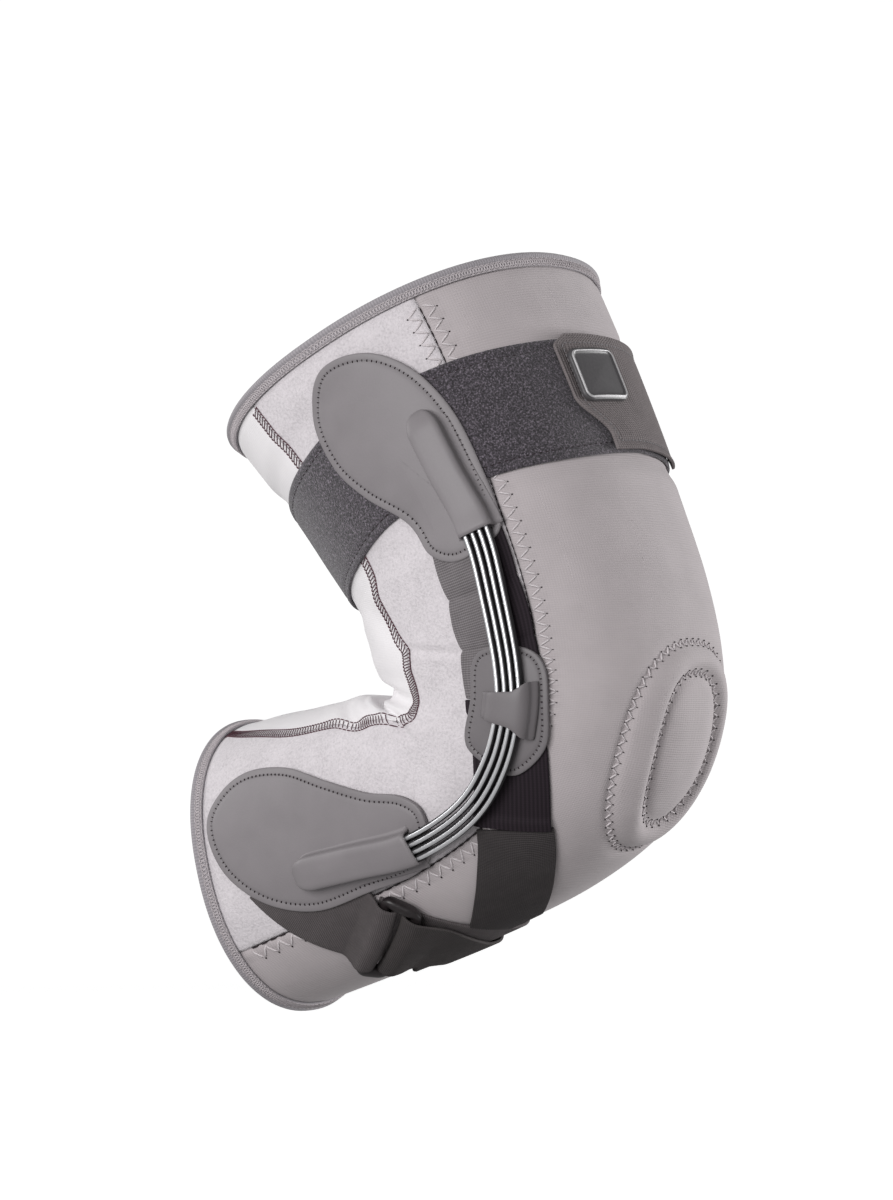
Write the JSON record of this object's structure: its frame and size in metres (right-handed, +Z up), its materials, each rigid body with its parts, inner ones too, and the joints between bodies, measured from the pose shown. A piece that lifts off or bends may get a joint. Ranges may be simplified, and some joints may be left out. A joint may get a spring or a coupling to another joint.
{
  "type": "hinged knee brace",
  "caption": "Padded wrap-round knee sleeve in its worn, bent form, with pocketed side pads, leaf-spring hinges under keeper loops, a thigh strap and a calf strap with a ring.",
  "frame": {"origin": "middle of the knee inside the sleeve, level with the hinge's keeper loops", "axes": "+X forwards to the kneecap, +Y to the wearer's left along the knee's bending axis, +Z up"},
  "size_m": [0.2108, 0.15, 0.2965],
  "materials": {
    "grey_knit": "smooth knit",
    "loop_cloth": "brushed loop",
    "white_cloth": "smooth",
    "binding_tape": "rib tape",
    "velour": "velour",
    "webbing": "ribbed weave",
    "calf_webbing": "ribbed weave",
    "elastic": "ribbed elastic",
    "leatherette": "satin grain",
    "spring_steel": "polished",
    "badge_metal": "satin",
    "black_plastic": "satin"
  },
  "bodies": {
    "root": {"front_panel": "grey_knit", "back_panel": "white_cloth", "side_panel_right": "loop_cloth", "side_panel_left": "loop_cloth", "thigh_binding": "binding_tape", "calf_binding": "binding_tape", "thigh_strap": "velour", "strap_tab": "webbing", "tab_badge": "badge_metal", "upper_pad_right": "leatherette", "lower_pad_right": "leatherette", "keeper_pad_right": "leatherette", "keeper_band_right": "leatherette", "upright_webbing_right": "webbing", "upright_elastic_right": "elastic", "lower_webbing_right": "webbing", "spring_leaf_1_right": "spring_steel", "spring_leaf_2_right": "spring_steel", "spring_leaf_3_right": "spring_steel", "spring_leaf_4_right": "spring_steel", "upper_pad_left": "leatherette", "lower_pad_left": "leatherette", "keeper_pad_left": "leatherette", "keeper_band_left": "leatherette", "upright_webbing_left": "webbing", "upright_elastic_left": "elastic", "lower_webbing_left": "webbing", "spring_leaf_1_left": "spring_steel", "spring_leaf_2_left": "spring_steel", "spring_leaf_3_left": "spring_steel", "spring_leaf_4_left": "spring_steel", "strap_anchor": "webbing", "ring_buckle": "black_plastic", "calf_strap": "calf_webbing"}
  },
  "joints": []
}
